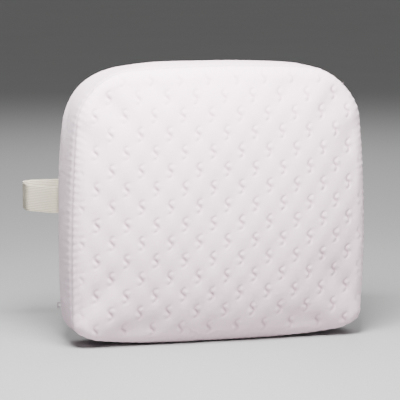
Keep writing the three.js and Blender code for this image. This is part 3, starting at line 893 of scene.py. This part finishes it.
def inner_block(name, inset, finish):
    """The closed net moved inwards: each sheet's points less the inset times their normals."""
    sheets = [front_net, back_net[:, ::-1], side_net[:, ::-1]]
    count = front_net.shape[0]
    moved = [s - outward(s, wrap=k == 2) * inset for k, s in enumerate(sheets)]
    faces = [
        grid_quads(count, count),
        grid_quads(count, count) + count * count,
        grid_quads(*side_net.shape[:2], wrap=True) + 2 * count * count,
    ]
    points = np.concatenate([s.reshape(-1, 3) for s in moved])
    painted = {"along": points[:, 0], "across": points[:, 2]}
    piece = new_piece(name, points, faces, finish, painted)
    return reworked(piece, merge_within(MERGE_WITHIN), face_outwards)


on_cushion(inner_block("foam_block", FOAM_INSET, foam_finish), "foam", "foam_core")
on_cushion(inner_block("knit_liner", LINER_INSET, liner_finish), "liner_knit", "inner_liner")

# %% [markdown]
# ## Webbing along a route
# Webbing is a flat section carried along a route seen from above. The section is a long loop with
# fine ribs. The route is made of straight runs, and each corner between them is a quadratic
# curve, as in the model, so the new strap lies where the model's strap lies.

# %% Strap tools
strap_low, strap_high = box("strap_left")
socket_low, socket_high = box("buckle_socket")
plug_high = box("buckle_plug")[1]
STRAP = 0.0018
STRAP_HALF = (strap_high[2] - strap_low[2]) / 2
STRAP_LEVEL = (strap_high[2] + strap_low[2]) / 2
ON_BACK = strap_low[1] + STRAP / 2
RUN = (socket_low[1] + socket_high[1]) / 2
OUT = STRAP / 2 - strap_low[0]
SIDE = box_high[0]
BAR_GAP = 0.0006
WRAP = 0.002 + BAR_GAP + STRAP / 2
SECTION_POINTS = 104
ROUTE_SPACING = 0.0014
RIB_DEPTH = 0.16
EDGE_RIPPLE = 0.004
EDGE_RIPPLE_LENGTH = 0.0072
CURL = 0.00012
CURL_LENGTH = 0.011


def circle(count):
    """Evenly spaced angles once round."""
    return np.arange(count) / count * 2 * np.pi


def signed_power(value, power):
    return np.sign(value) * np.abs(value) ** power


def tube_faces(rings, count):
    """The walls and the two ends of a tube of rings with count points each."""
    ring = np.arange(count)
    ends = np.stack([ring[::-1], ring + (rings - 1) * count])
    return [grid_quads(rings, count, wrap=True), ends]


def rounded_route(corners, spacing):
    """Points at even spacing along straight runs whose corners [x, y, radius] are rounded."""
    corners = np.array(corners, float)
    points = [corners[0, :2]]
    for before, here, after in zip(corners[:-2], corners[1:-1], corners[2:]):
        back = (before - here)[:2] / np.linalg.norm((before - here)[:2])
        on = (after - here)[:2] / np.linalg.norm((after - here)[:2])
        setback = here[2] / math.tan(math.acos(np.clip(back @ on, -1, 1)) / 2)
        t = np.linspace(0, 1, 13)[:, None]
        start, end = here[:2] + back * setback, here[:2] + on * setback
        points.extend((1 - t) ** 2 * start + 2 * t * (1 - t) * here[:2] + t**2 * end)
    points = np.array([*points, corners[-1, :2]])
    length = np.concatenate([[0], np.cumsum(np.linalg.norm(np.diff(points, axis=0), axis=1))])
    even = np.linspace(0, length[-1], max(int(length[-1] / spacing), 2))
    return np.column_stack([np.interp(even, length, points[:, k]) for k in range(2)]), even


def webbing(name, corners):
    """A flat loop with small ribs at each route point: out along the route's normal, across along
    Z. Its edges ripple and its borders curl by slow sine waves of the length."""
    route, length = rounded_route(corners, ROUTE_SPACING)
    along = unit(np.gradient(route, axis=0))
    normal = np.column_stack([along[:, 1], -along[:, 0]])
    turn = circle(SECTION_POINTS)
    across = STRAP_HALF * signed_power(np.cos(turn), 0.9)
    ribs = 1 + RIB_DEPTH * np.cos(across * 2 * np.pi / RIB_PITCH)
    out = STRAP / 2 * signed_power(np.sin(turn), 0.22) * ribs
    ripple = 1 + EDGE_RIPPLE * np.sin(length * 2 * np.pi / EDGE_RIPPLE_LENGTH)
    curl = CURL * np.sin(length * 2 * np.pi / CURL_LENGTH)
    shift = out + curl[:, None] * (np.abs(across) / STRAP_HALF) ** 2
    flat = route[:, None] + normal[:, None] * shift[..., None]
    sheet = np.concatenate([flat, (STRAP_LEVEL + across * ripple[:, None])[..., None]], -1)
    rows, columns = shift.shape
    painted = {"along": np.repeat(length, columns), "across": np.tile(across, rows)}
    piece = new_piece(name, sheet, tube_faces(rows, columns), elastic_finish, painted)
    return reworked(piece, face_outwards)


def strap_start(side, run):
    return [
        [side * (SIDE - EDGE - 0.038), ON_BACK, 0],
        [side * (SIDE + 0.003), ON_BACK, 0.010],
        [side * OUT, ON_BACK + 0.027, 0.012],
        [side * OUT, run, 0.020],
    ]


# %% [markdown]
# ## The two halves of the strap
# The left half ends in a loop that is folded round the socket's bar and sewn to itself. The right
# half turns round the plug's bars, and its loose tail lies back along it. The part round the plug
# rides with the plug.

# %% Strap
SOCKET_BAR = 0.0034
PLUG_BAR = 0.018
SEWN_LENGTH = 0.024
TAIL_LENGTH = 0.092
JOIN = 0.030
BEND_TIGHT, BEND_CLOSE = 0.0016, 0.0018
eye_in = socket_low[0] - 0.0007 - STRAP / 2
eye_out = socket_low[0] + SOCKET_BAR + BAR_GAP + STRAP / 2
sewn_run = RUN + STRAP * 1.06
left_strap = webbing("elastic_left", [
    *strap_start(-1, RUN),
    [eye_in - 0.007, RUN, 0.003],
    [eye_in, RUN - WRAP, BEND_CLOSE],
    [eye_out, RUN - WRAP, BEND_TIGHT],
    [eye_out, RUN + WRAP, BEND_TIGHT],
    [eye_in, RUN + WRAP, BEND_CLOSE],
    [eye_in - 0.007, sewn_run, 0.003],
    [eye_in - SEWN_LENGTH, sewn_run, 0],
])
declared(left_strap, "root", "strap_elastic", "strap_left")

right_run = RUN - WRAP
tail_run = right_run + STRAP + 0.0005
turn_x = plug_high[0] - PLUG_BAR + STRAP / 2 + BAR_GAP
right_strap = webbing("elastic_right", [*strap_start(1, right_run), [turn_x + JOIN, right_run, 0]])
turn_x + 0.034
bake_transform(right_strap)
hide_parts("strap_right")

strap_turn = webbing("elastic_turn", [
    [turn_x + JOIN + 0.0001, right_run, 0],
    [turn_x, right_run, BEND_TIGHT],
    [turn_x, RUN + WRAP, BEND_TIGHT],
    [plug_high[0] + 0.001, RUN + WRAP, 0.003],
    [plug_high[0] + 0.022, tail_run, 0.008],
    [plug_high[0] + TAIL_LENGTH, tail_run, 0],
])
declared(strap_turn, "plug", "strap_elastic")
print("strap runs at", round(RUN, 4), "and", round(right_run, 4))

# %% [markdown]
# ## Sewn patches and the keeper
# A patch of cloth covers each sewn end of the strap. It lies on the net at its edges and rises
# over the webbing in a smooth step. The keeper is a small loop of the same elastic round both
# layers.

# %% Patches and keeper
STEP_WIDTH = 0.003
PATCH_CLOTH = 0.0006
PATCH_DIP = 0.0004
PATCH_MARGIN = 0.003
PATCH_PINCH = 0.0008
PATCH_RIM = 0.0007
PATCH_RIM_WIDTH = 0.0012
PATCH_SINK = 0.0003
KEEPER_WALL = 0.0006
KEEPER_SHAPE = (28, 120)


def smooth_step(value):
    t = np.clip(value, 0, 1)
    return t * t * (3 - 2 * t)


def over_webbing(z):
    """The height of cloth that lies over the strap: a smooth step up at each of its edges."""
    step = smooth_step((STRAP_HALF + STEP_WIDTH - np.abs(z - STRAP_LEVEL)) / STEP_WIDTH)
    return step * (STRAP + PATCH_DIP)


def strap_patch(name, node):
    """A sheet over a rectangle that rises over the webbing, dips at its stitches and rounds off
    at its edges."""
    low, high = box(node)
    x, z = np.meshgrid(np.linspace(high[0], low[0], 79), np.linspace(low[2], high[2], 85))
    edge = np.minimum(np.minimum(x - low[0], high[0] - x), np.minimum(z - low[2], high[2] - z))
    sewn = hill(edge - PATCH_MARGIN, PATCH_PINCH)
    rounded = PATCH_RIM * smooth_step(edge / PATCH_RIM_WIDTH)
    y = low[1] - PATCH_SINK + rounded + over_webbing(z) - PATCH_DIP * sewn
    # Painted shade in the dips at the stitches.
    painted = {"hollow_shade": sewn * 0.5, "along": x, "across": z}
    sheet = np.stack([x, y, z], -1)
    piece = cloth_piece(name, sheet, PATCH_CLOTH, 2, patch_finish, painted)
    declared(piece, "root", "patch_cloth", node)
    return low, high


def keeper_loop():
    """A ribbed band round both webbing layers: a rounded rectangle in Y and Z with the sum of the
    eighth powers held constant, carried along X with a rounded cross-section."""
    low, high = box("strap_keeper")
    middle, half = (low + high) / 2, (high - low) / 2
    section, turn = (circle(count) for count in KEEPER_SHAPE)
    c, s = np.cos(turn), np.sin(turn)
    squeeze = (np.abs(c) ** 8 + np.abs(s) ** 8) ** (-1 / 8)
    wall = KEEPER_WALL * (signed_power(np.sin(section), 0.5)[:, None] - 1)
    x = middle[0] + half[0] * signed_power(np.cos(section), 0.6)
    y = middle[1] + (half[1] + wall) * c * squeeze
    z = middle[2] + (half[2] + wall) * s * squeeze
    x, length = np.broadcast_to(x[:, None], y.shape), np.broadcast_to(turn * 0.02, y.shape)
    rings, count = KEEPER_SHAPE
    faces = grid_quads(rings + 1, count, wrap=True) % (rings * count)
    painted = {"along": length, "across": x}
    piece = new_piece("keeper_loop", np.stack([x, y, z], -1), [faces], elastic_finish, painted)
    return reworked(piece, face_outwards)


patch_boxes = [strap_patch(f"patch_{side}", f"strap_patch_{side}") for side in ("left", "right")]
declared(keeper_loop(), "keeper", "strap_elastic", "strap_keeper")
print("patches", len(patch_boxes), "over a strap", round(2 * STRAP_HALF, 4), "high")

# %% [markdown]
# ## Thread
# A row of stitches is one small lens-shaped piece repeated along a line. Each has only a few
# faces, because there are hundreds, and each dips into the cloth at its ends as sewn thread does.

# %% Stitches
STITCH_PITCH = 0.0030
STITCH_LENGTH = 0.0023
STITCH_RADIUS = 0.00030
STITCH_RINGS = 6
CROSS_HALF = 0.012
OUT_OF_BACK = (0, 1, 0)


def stitch_row(start, end):
    """Middles and directions of evenly spaced stitches between two points."""
    start, end = np.array(start, float), np.array(end, float)
    length = np.linalg.norm(end - start)
    count = max(int(length / STITCH_PITCH), 1)
    share = (np.arange(count) + 0.5) / count
    middles = start + (end - start) * share[:, None]
    return middles, np.repeat([(end - start) / length], count, 0)


def stitches(name, rows, lift, slot, surface=None):
    """Every stitch is a six-sided spindle: its radius is a half sine along its length. The lift is
    the way out of the cloth. A surface gives the stitches' Y from their Z."""
    middles, along = (np.concatenate(parts) for parts in zip(*rows))
    lift = np.array(lift, float)
    if surface is not None:
        middles[:, 1] = surface(middles[:, 2])
    aside = np.cross(along, lift)
    share = np.linspace(0, 1, STITCH_RINGS)
    turn = circle(STITCH_RINGS)
    radius = STITCH_RADIUS * np.sqrt(np.sin(share * np.pi * 0.96 + 0.06))[:, None]
    run = (share - 0.5) * STITCH_LENGTH
    arch = 0.7 * STITCH_RADIUS * np.sin(share * np.pi)
    ring = (
        run[:, None, None] * along[:, None, None, :]
        + (radius * np.cos(turn))[None, :, :, None] * aside[:, None, None, :]
        + (radius * np.sin(turn) + arch[:, None])[None, :, :, None] * lift
    )
    offset = (np.arange(len(middles)) * STITCH_RINGS**2)[:, None, None]
    blocks = tube_faces(STITCH_RINGS, STITCH_RINGS)
    faces = [(block + offset).reshape(-1, block.shape[1]) for block in blocks]
    piece = new_piece(name, middles[:, None, None, :] + ring, faces, thread_finish)
    return declared(reworked(piece, face_outwards), "root", slot)


def box_rows(low, high, margin, cross):
    """The four sides of a rectangle in X and Z, and its two diagonals if it is a crossed box."""
    y = high[1]
    x0, x1 = low[0] + margin, high[0] - margin
    z0, z1 = low[2] + margin, high[2] - margin
    corners = [(x0, y, z0), (x1, y, z0), (x1, y, z1), (x0, y, z1)]
    rows = [stitch_row(corners[k], corners[(k + 1) % 4]) for k in range(4)]
    if cross:
        rows += [stitch_row(corners[0], corners[2]), stitch_row(corners[1], corners[3])]
    return rows


def on_patch(z):
    return patch_boxes[0][0][1] + PATCH_SINK + over_webbing(z)


patch_rows = []
for low, high in patch_boxes:
    patch_rows += box_rows(low, high, PATCH_MARGIN, cross=False)
    inner_low = np.array([low[0] + 0.008, low[1], STRAP_LEVEL - CROSS_HALF])
    inner_high = np.array([high[0] - 0.008, high[1], STRAP_LEVEL + CROSS_HALF])
    patch_rows += box_rows(inner_low, inner_high, 0, cross=True)
stitches("patch_stitches", patch_rows, OUT_OF_BACK, "patch_cloth", on_patch)

loop_low = np.array([eye_in - 0.0225, RUN, STRAP_LEVEL - 0.0115])
loop_high = np.array([eye_in - 0.0085, RUN + STRAP * 1.56 + 0.0001, STRAP_LEVEL + 0.0115])
loop_rows = box_rows(loop_low, loop_high, 0, cross=True)
stitches("loop_stitches", loop_rows, OUT_OF_BACK, "strap_elastic")
print("rows of stitches", len(patch_rows) + len(loop_rows))

# %% [markdown]
# ## The zip
# Each half of a coil zip is a nylon wire wound on a woven tape. The wire is a helix with an oval
# section, and the halves are shifted by half a turn so that their loops interleave. Slider, tab
# and stops are castings: the model's own shapes with their edges rounded.

# %% Zip
flip = next(j for j in frame["joints"] if j["name"] == "pull_tab_flip")
ALONG_ZIP = np.array([1.0, 0.0, 0.0])
zip_up = unit(-np.array(flip["axis"], float))
zip_out = np.cross(zip_up, ALONG_ZIP)
coil_low, coil_high = box("zip_coil_upper")
tape_low, tape_high = box("zip_tape_upper")
COIL_PITCH = 0.0016
WIRE = 0.00036
TURN_POINTS = 10
WIRE_SIDES = 6
COIL_MIDDLE, COIL_HALF, COIL_RISE = 0.00150, 0.00128, 0.00078
TAPE_EDGES = (0.0006, 0.0077)
TAPE_LEVEL = -0.00125
TAPE_BEAD = 0.00018
BEAD_PLACE, BEAD_WIDTH = 0.0014, 0.0008
TAPE_CLOTH = 0.0006
ZIP_STITCHES = (0.0078, 0.0096)


def in_zip_frame(x, out, up):
    """A place from its distances along the zip, out of the back and up the back."""
    point = zip_middle + np.asarray(out)[..., None] * zip_out + np.asarray(up)[..., None] * zip_up
    point[..., 0] = x
    return point


def zip_coil(name, side, node):
    """A helix: along X at an even pitch, out = rise * sine, up = middle + half width * cosine."""
    steps = int((coil_high[0] - coil_low[0]) / COIL_PITCH) * TURN_POINTS
    turns = np.arange(steps) / TURN_POINTS
    angle = turns * 2 * np.pi + (np.pi if side > 0 else 0)
    up = side * (COIL_MIDDLE + COIL_HALF * np.cos(angle))
    path = in_zip_frame(coil_low[0] + turns * COIL_PITCH, COIL_RISE * np.sin(angle), up)
    along = unit(np.gradient(path, axis=0))
    first = unit(np.cross(along, ALONG_ZIP))[:, None]
    second = np.cross(along[:, None], first)
    turn = circle(WIRE_SIDES)[:, None]
    sheet = path[:, None] + WIRE * (np.cos(turn) * first + np.sin(turn) * second)
    piece = new_piece(name, sheet, tube_faces(steps, WIRE_SIDES), coil_finish)
    declared(piece, "root", "zip_coil", node)


def zip_tape(name, side, node):
    """A thin woven strip with a beaded edge under the coil."""
    x, up = np.meshgrid(np.linspace(tape_low[0], tape_high[0], 149), np.linspace(*TAPE_EDGES, 25))
    if side > 0:
        x = x[:, ::-1]
    out = TAPE_LEVEL + TAPE_BEAD * hill(up - BEAD_PLACE, BEAD_WIDTH)
    sheet = in_zip_frame(x, out, side * up)
    painted = {"along": x, "across": up}
    piece = cloth_piece(name, sheet, TAPE_CLOTH, 4, tape_finish, painted)
    declared(piece, "root", "zip_tape", node)


for side, part in ((1, "upper"), (-1, "lower")):
    zip_coil(f"coil_{part}", side, f"zip_coil_{part}")
    zip_tape(f"tape_{part}", side, f"zip_tape_{part}")

zip_rows = []
for distance in (*ZIP_STITCHES, *(-place for place in ZIP_STITCHES)):
    ends = [in_zip_frame(x, 0.0, distance) for x in (tape_low[0] + 0.002, tape_high[0] - 0.002)]
    zip_rows.append(stitch_row(*ends))


def on_net(z):
    """The back's Y, with the folds beside the zip."""
    return back_at(z) + FOLD_RISE * hill(np.abs(z - ZIP_LEVEL) - ZIP_OPENING, FOLD_WIDTH)


stitches("zip_stitches", zip_rows, zip_out, "back_net", on_net)
print("coil turns", int((coil_high[0] - coil_low[0]) / COIL_PITCH))

# %% [markdown]
# ## Castings and mouldings
# A model piece made of flat faces looks machine-cut. A copy with its points merged, its flat
# faces joined and its edges bevelled shows the soft edges that a mould leaves.

# %% Rounded copies of the hard pieces
MERGE_POINTS = 2e-6
FLAT_ANGLE = math.radians(1)
EDGE_ANGLE = math.radians(25)
METAL = (metal_finish, "zip_metal")
PLASTIC = (buckle_finish, "buckle_plastic")
HARD_PIECES = [
    ("slider", "zip_slider", METAL, "zip_slider", 0.00018),
    ("pull_tab", "zip_pull_tab", METAL, "zip_pull", 0.00016),
    ("stop_left", "zip_stop_left", METAL, "root", 0.0003),
    ("stop_right", "zip_stop_right", METAL, "root", 0.0003),
    ("socket", "buckle_socket", PLASTIC, "root", 0.0006),
    ("plug", "buckle_plug", PLASTIC, "plug", 0.0005),
    ("arm_upper", "latch_arm_upper", PLASTIC, "latch_upper", 0.0004),
    ("arm_lower", "latch_arm_lower", PLASTIC, "latch_lower", 0.0004),
]


def join_flat_faces(work):
    bmesh.ops.dissolve_limit(work, angle_limit=FLAT_ANGLE, verts=work.verts, edges=work.edges)
    for face in work.faces:
        face.smooth = True


def softened(name, node, looks, body, edge):
    """A copy of a model piece with a bevel of the given width on every sharp edge."""
    finish, slot = looks
    mesh = frame["nodes"][node].data.copy()
    mesh.name = name
    mesh.materials.clear()
    mesh.materials.append(finish)
    piece = reworked(linked(name, mesh), merge_within(MERGE_POINTS), join_flat_faces)
    bevel = piece.modifiers.new("soft edges", "BEVEL")
    bevel.width = edge
    bevel.segments = 2
    bevel.limit_method = "ANGLE"
    bevel.angle_limit = EDGE_ANGLE
    bevel.harden_normals = True
    declared(piece, body, slot, node)


for row in HARD_PIECES:
    softened(*row)
print("hard pieces", len(HARD_PIECES))

# %% [markdown]
# ## Finger ridges
# Small ridges on the socket's outer faces give fingers a grip when the buckle is pulled open.
# Each is a low half-round bar with round ends, sunk a little into the face so that no gap shows.

# %% Finger ridges
RIDGE_LENGTH = 0.020
RIDGE_RADIUS = 0.0007
RIDGE_SINK = 0.0001
RIDGE_PLACES = (0.0055, 0.0080, 0.0105, 0.0130)
RIDGE_SHAPE = (25, 12)


def finger_ridges():
    """A closed bar per ridge: the radius is a square root of 1 - t^8 along its length."""
    rings, sides = RIDGE_SHAPE
    share = np.linspace(-1, 1, rings)[:, None]
    turn = circle(sides)
    radius = RIDGE_RADIUS * np.sqrt(np.clip(1 - share**8, 0.01, 1))
    bars = []
    for face in (socket_low[1] - RIDGE_SINK, socket_high[1] + RIDGE_SINK):
        for place in RIDGE_PLACES:
            x = socket_high[0] - place + radius * np.cos(turn)
            y = face + 0.6 * radius * np.sin(turn)
            z = STRAP_LEVEL + np.repeat(share * RIDGE_LENGTH / 2, sides, 1)
            bars.append(np.stack([x, y, z], -1))
    blocks = tube_faces(rings, sides)
    faces = [block + k * rings * sides for k in range(len(bars)) for block in blocks]
    piece = new_piece("finger_ridges", bars, faces, buckle_finish)
    return reworked(piece, face_outwards)


declared(finger_ridges(), "root", "buckle_plastic")
print("ridges", 2 * len(RIDGE_PLACES))

# %% [markdown]
# ## The care label
# A small blank satin label is sewn on above the zip. It is a thin sheet with a slight curl.

# %% Care label
LABEL_LIFT = 0.0013
LABEL_CLOTH = 0.0004
LABEL_CURL = 0.0012
LABEL_CUP = 0.0005
LABEL_HALF = 0.016
LABEL_MARGIN = 0.002
LABEL_SEAM = 0.0025


def care_label():
    """A sheet that curls away from the back towards its loose lower end. Gives its sewn row."""
    low, high = box("care_label")
    x, z = np.meshgrid(np.linspace(high[0], low[0], 33), np.linspace(low[2], high[2], 45))
    loose = (high[2] - z) / (high[2] - low[2])
    aside = (x - (low[0] + high[0]) / 2) / LABEL_HALF
    y = back_at(z) + LABEL_LIFT + LABEL_CURL * loose**2 + LABEL_CUP * aside**2 * loose
    painted = {"along": z, "across": x}
    sheet = np.stack([x, y, z], -1)
    piece = cloth_piece("satin_label", sheet, LABEL_CLOTH, 4, satin_finish, painted)
    declared(piece, "root", "label_satin", "care_label")
    ends = (low[0] + LABEL_MARGIN, high[0] - LABEL_MARGIN)
    return stitch_row(*[(end, 0, high[2] - LABEL_SEAM) for end in ends])


def on_label(z):
    return back_at(z) + LABEL_LIFT + LABEL_CLOTH / 2


stitches("label_stitches", [care_label()], OUT_OF_BACK, "label_satin", on_label)

# %% [markdown]
# ## Studio
# A plain grey floor sends little light back up, so the front darkens towards its base and its
# hollows show. One soft lamp stands close above the front, and weak light comes from all round.

# %% Floor and lights
FLOOR_REACH = 60.0
FLOOR_GREY = (0.30, 0.30, 0.30)
ROOM_LIGHT = 0.28
LAMPS = [
    ("key", (-0.13, -0.36, 0.74), 0.40, 34.0),
    ("fill", (1.6, -1.6, 0.9), 1.4, 4.0),
    ("behind", (0.4, 1.6, 1.6), 1.2, 36.0),
]


def studio():
    paint = Finish("grey_floor")
    paint.set("Base Color", (*FLOOR_GREY, 1))
    paint.set("Roughness", paint.noise(4.0) * 0.1 + 0.65)
    ways = ((-1, -1), (1, -1), (1, 1), (-1, 1))
    corners = [(x * FLOOR_REACH, y * FLOOR_REACH, 0) for x, y in ways]
    new_piece("floor", corners, [np.array([[0, 1, 2, 3]])], paint.material)
    target = Vector((0, 0, HEIGHT / 2))
    for name, place, size, power in LAMPS:
        light = bpy.data.lights.new(name, "AREA")
        light.size = size
        light.energy = power
        lamp = linked(name, light)
        lamp.location = place
        lamp.rotation_euler = (target - lamp.location).to_track_quat("-Z", "Y").to_euler()
    world = bpy.data.worlds.new("soft_room")
    world.use_nodes = True
    background = world.node_tree.nodes["Background"]
    background.inputs["Color"].default_value = (1, 1, 1, 1)
    background.inputs["Strength"].default_value = ROOM_LIGHT
    bpy.context.scene.world = world


studio()
print("lamps", len(LAMPS))
